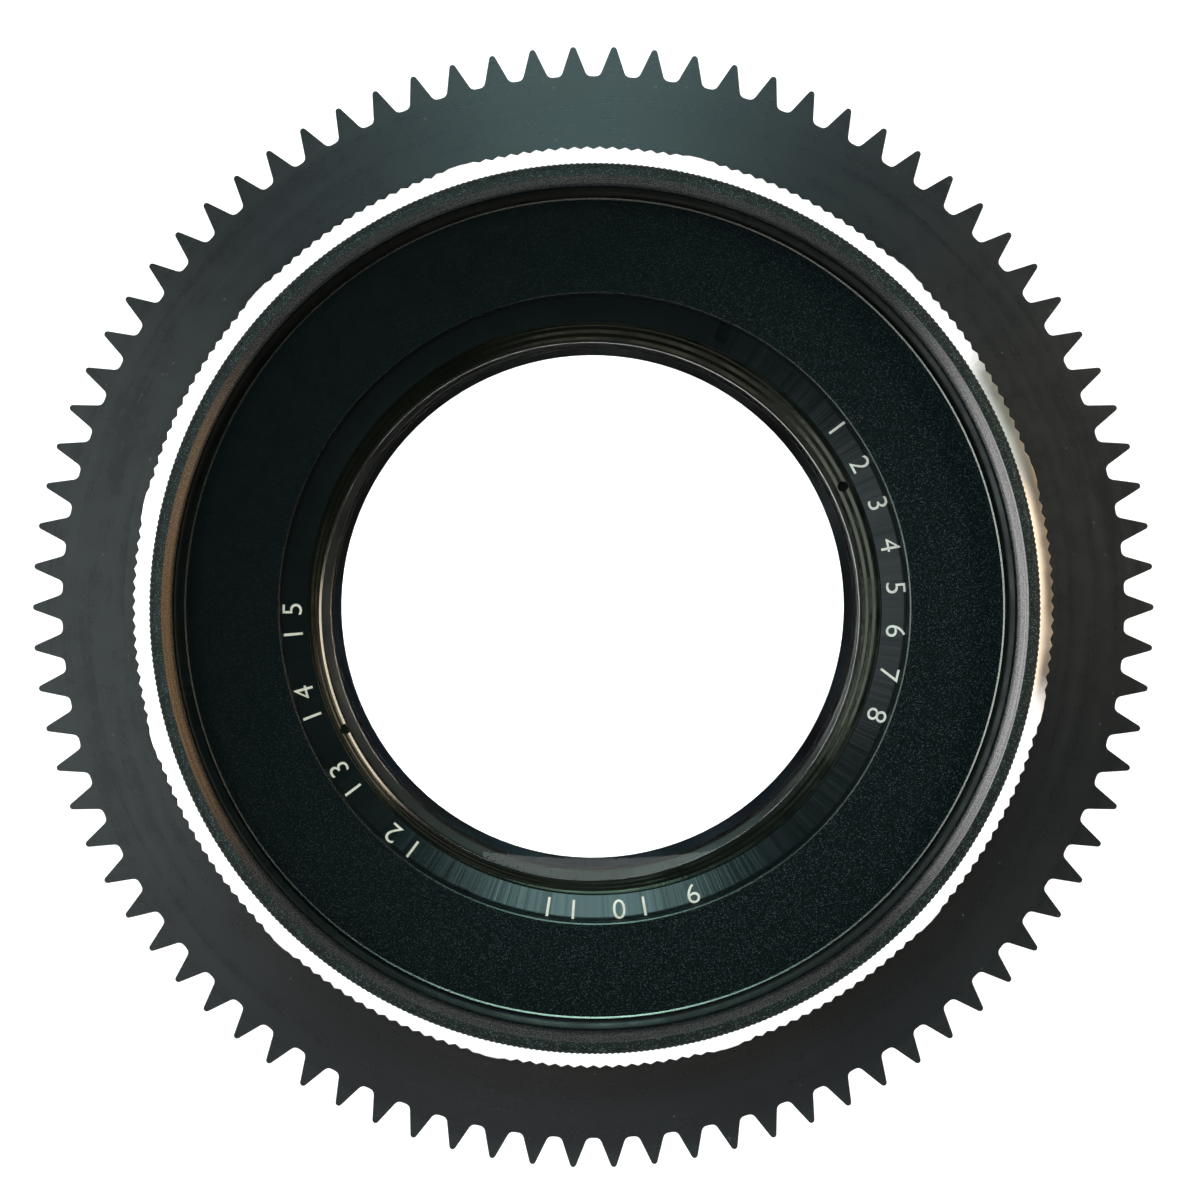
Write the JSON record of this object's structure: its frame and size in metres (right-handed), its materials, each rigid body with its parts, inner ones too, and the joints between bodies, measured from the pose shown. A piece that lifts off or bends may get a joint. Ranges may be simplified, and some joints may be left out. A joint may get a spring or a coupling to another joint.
{
  "type": "cinema prime lens",
  "caption": "Long prime lens with a toothed focus gear, step-up filter ring, preset iris and screw mount; the gear drives a helicoid that moves the optics.",
  "frame": {"origin": "centre of the rear end of the camera thread, on the optical axis, where the lens stands", "axes": "+Z along the optical axis towards the front of the lens; +X and +Y across it"},
  "size_m": [0.0704, 0.0704, 0.1],
  "materials": {
    "black_enamel": "satin black enamel on aluminium",
    "black_anodised": "matte black anodised",
    "black_acetal": "cut black acetal with turning marks",
    "satin_aluminium": "satin bright",
    "brass": "greased, turned",
    "steel": "turned",
    "blued_steel": "blued black",
    "coated_glass": "polished, thin blue coating"
  },
  "bodies": {
    "barrel": {"rear_mount": "black_enamel", "rear_barrel": "black_enamel", "depth_scale_band": "satin_aluminium", "guide_tube": "black_enamel", "guide_keys": "steel", "mount_screws": "steel", "focus_snap_ring": "steel"},
    "focus": {"focus_ring": "satin_aluminium", "distance_scale_band": "black_enamel", "focus_gear": "black_acetal", "helicoid_sleeve": "brass", "helicoid_screws": "steel"},
    "head": {"head_sleeve": "satin_aluminium", "front_barrel": "black_enamel", "ring_retainer": "black_enamel", "step_up_ring": "black_anodised", "step_up_plate": "black_anodised", "name_ring": "black_enamel", "optical_barrel": "black_enamel", "front_retainer": "black_enamel", "front_element": "coated_glass", "pair_retainer": "black_enamel", "pair_crown": "coated_glass", "pair_flint": "coated_glass", "rear_cell": "black_enamel", "rear_element": "coated_glass", "rear_retainer": "black_enamel", "iris_base_plate": "black_enamel"},
    "aperture": {"aperture_ring": "black_enamel", "aperture_drive_screw": "steel", "iris_drive_tube": "brass", "iris_drive_ring": "brass"},
    "preset": {"preset_ring": "black_enamel"},
    "blade_01": {"iris_blade_01": "blued_steel"},
    "blade_02": {"iris_blade_02": "blued_steel"},
    "blade_03": {"iris_blade_03": "blued_steel"},
    "blade_04": {"iris_blade_04": "blued_steel"},
    "blade_05": {"iris_blade_05": "blued_steel"},
    "blade_06": {"iris_blade_06": "blued_steel"},
    "blade_07": {"iris_blade_07": "blued_steel"},
    "blade_08": {"iris_blade_08": "blued_steel"},
    "blade_09": {"iris_blade_09": "blued_steel"},
    "blade_10": {"iris_blade_10": "blued_steel"},
    "blade_11": {"iris_blade_11": "blued_steel"},
    "blade_12": {"iris_blade_12": "blued_steel"}
  },
  "joints": [
    {"name": "focus_turn", "type": "hinge", "parent": "barrel", "child": "focus", "pos_m": [0, 0, 0.06], "axis": [0, 0, 1], "range_deg": [0, 270]},
    {"name": "head_extend", "type": "slide", "parent": "barrel", "child": "head", "axis": [0, 0, 1], "range_m": [0, 0.01601]},
    {"name": "aperture_turn", "type": "hinge", "parent": "head", "child": "aperture", "pos_m": [0, 0, 0.084], "axis": [0, 0, 1], "range_deg": [0, 60]},
    {"name": "preset_turn", "type": "hinge", "parent": "head", "child": "preset", "pos_m": [0, 0, 0.09], "axis": [0, 0, 1], "range_deg": [0, 60]},
    {"name": "blade_01_swing", "type": "hinge", "parent": "head", "child": "blade_01", "pos_m": [0.0149, 0.0086, 0.065], "axis": [0, 0, 1], "range_deg": [0, 34.3]},
    {"name": "blade_02_swing", "type": "hinge", "parent": "head", "child": "blade_02", "pos_m": [0.0086, 0.0149, 0.065], "axis": [0, 0, 1], "range_deg": [0, 34.3]},
    {"name": "blade_03_swing", "type": "hinge", "parent": "head", "child": "blade_03", "pos_m": [0, 0.0172, 0.065], "axis": [0, 0, 1], "range_deg": [0, 34.3]},
    {"name": "blade_04_swing", "type": "hinge", "parent": "head", "child": "blade_04", "pos_m": [-0.0086, 0.0149, 0.065], "axis": [0, 0, 1], "range_deg": [0, 34.3]},
    {"name": "blade_05_swing", "type": "hinge", "parent": "head", "child": "blade_05", "pos_m": [-0.0149, 0.0086, 0.065], "axis": [0, 0, 1], "range_deg": [0, 34.3]},
    {"name": "blade_06_swing", "type": "hinge", "parent": "head", "child": "blade_06", "pos_m": [-0.0172, 0, 0.065], "axis": [0, 0, 1], "range_deg": [0, 34.3]},
    {"name": "blade_07_swing", "type": "hinge", "parent": "head", "child": "blade_07", "pos_m": [-0.0149, -0.0086, 0.065], "axis": [0, 0, 1], "range_deg": [0, 34.3]},
    {"name": "blade_08_swing", "type": "hinge", "parent": "head", "child": "blade_08", "pos_m": [-0.0086, -0.0149, 0.065], "axis": [0, 0, 1], "range_deg": [0, 34.3]},
    {"name": "blade_09_swing", "type": "hinge", "parent": "head", "child": "blade_09", "pos_m": [0, -0.0172, 0.065], "axis": [0, 0, 1], "range_deg": [0, 34.3]},
    {"name": "blade_10_swing", "type": "hinge", "parent": "head", "child": "blade_10", "pos_m": [0.0086, -0.0149, 0.065], "axis": [0, 0, 1], "range_deg": [0, 34.3]},
    {"name": "blade_11_swing", "type": "hinge", "parent": "head", "child": "blade_11", "pos_m": [0.0149, -0.0086, 0.065], "axis": [0, 0, 1], "range_deg": [0, 34.3]},
    {"name": "blade_12_swing", "type": "hinge", "parent": "head", "child": "blade_12", "pos_m": [0.0172, 0, 0.065], "axis": [0, 0, 1], "range_deg": [0, 34.3]}
  ],
  "couplings": [
    {"joint": "head_extend", "follows": "focus_turn", "m_per_rad": 0.0033953},
    {"joint": "blade_01_swing", "follows": "aperture_turn", "ratio": 0.57},
    {"joint": "blade_02_swing", "follows": "aperture_turn", "ratio": 0.57},
    {"joint": "blade_03_swing", "follows": "aperture_turn", "ratio": 0.57},
    {"joint": "blade_04_swing", "follows": "aperture_turn", "ratio": 0.57},
    {"joint": "blade_05_swing", "follows": "aperture_turn", "ratio": 0.57},
    {"joint": "blade_06_swing", "follows": "aperture_turn", "ratio": 0.57},
    {"joint": "blade_07_swing", "follows": "aperture_turn", "ratio": 0.57},
    {"joint": "blade_08_swing", "follows": "aperture_turn", "ratio": 0.57},
    {"joint": "blade_09_swing", "follows": "aperture_turn", "ratio": 0.57},
    {"joint": "blade_10_swing", "follows": "aperture_turn", "ratio": 0.57},
    {"joint": "blade_11_swing", "follows": "aperture_turn", "ratio": 0.57},
    {"joint": "blade_12_swing", "follows": "aperture_turn", "ratio": 0.57}
  ]
}
